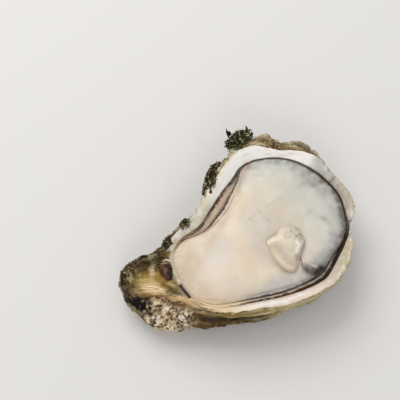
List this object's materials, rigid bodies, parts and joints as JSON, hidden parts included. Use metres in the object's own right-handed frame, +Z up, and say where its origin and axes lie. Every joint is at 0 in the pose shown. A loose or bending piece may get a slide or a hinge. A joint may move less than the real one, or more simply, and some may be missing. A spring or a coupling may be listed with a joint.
{
  "type": "oyster on the half shell",
  "caption": "Opened raw oyster lying in its cupped lower shell, with its body, mantle margin and adductor muscle showing; rests on the shell's flat spot.",
  "frame": {"origin": "on the surface the shell rests on, below the middle of the whole oyster's bounding box", "axes": "+Z up, out of the open shell; +X towards the ventral end of the shell, away from the hinge"},
  "size_m": [0.1164, 0.0882, 0.028],
  "materials": {
    "shell": "matte",
    "ligament": "satin",
    "mantle": "satin",
    "flesh": "gloss",
    "muscle": "gloss",
    "weed": "matte"
  },
  "bodies": {
    "root": {"shell": "shell", "hinge_ligament": "ligament", "lower_mantle": "mantle", "body": "flesh", "adductor_muscle": "muscle", "weed_tuft_rim": "weed", "weed_clump_side": "weed", "weed_patch_cup": "weed", "weed_patch_hinge": "weed"}
  },
  "joints": []
}
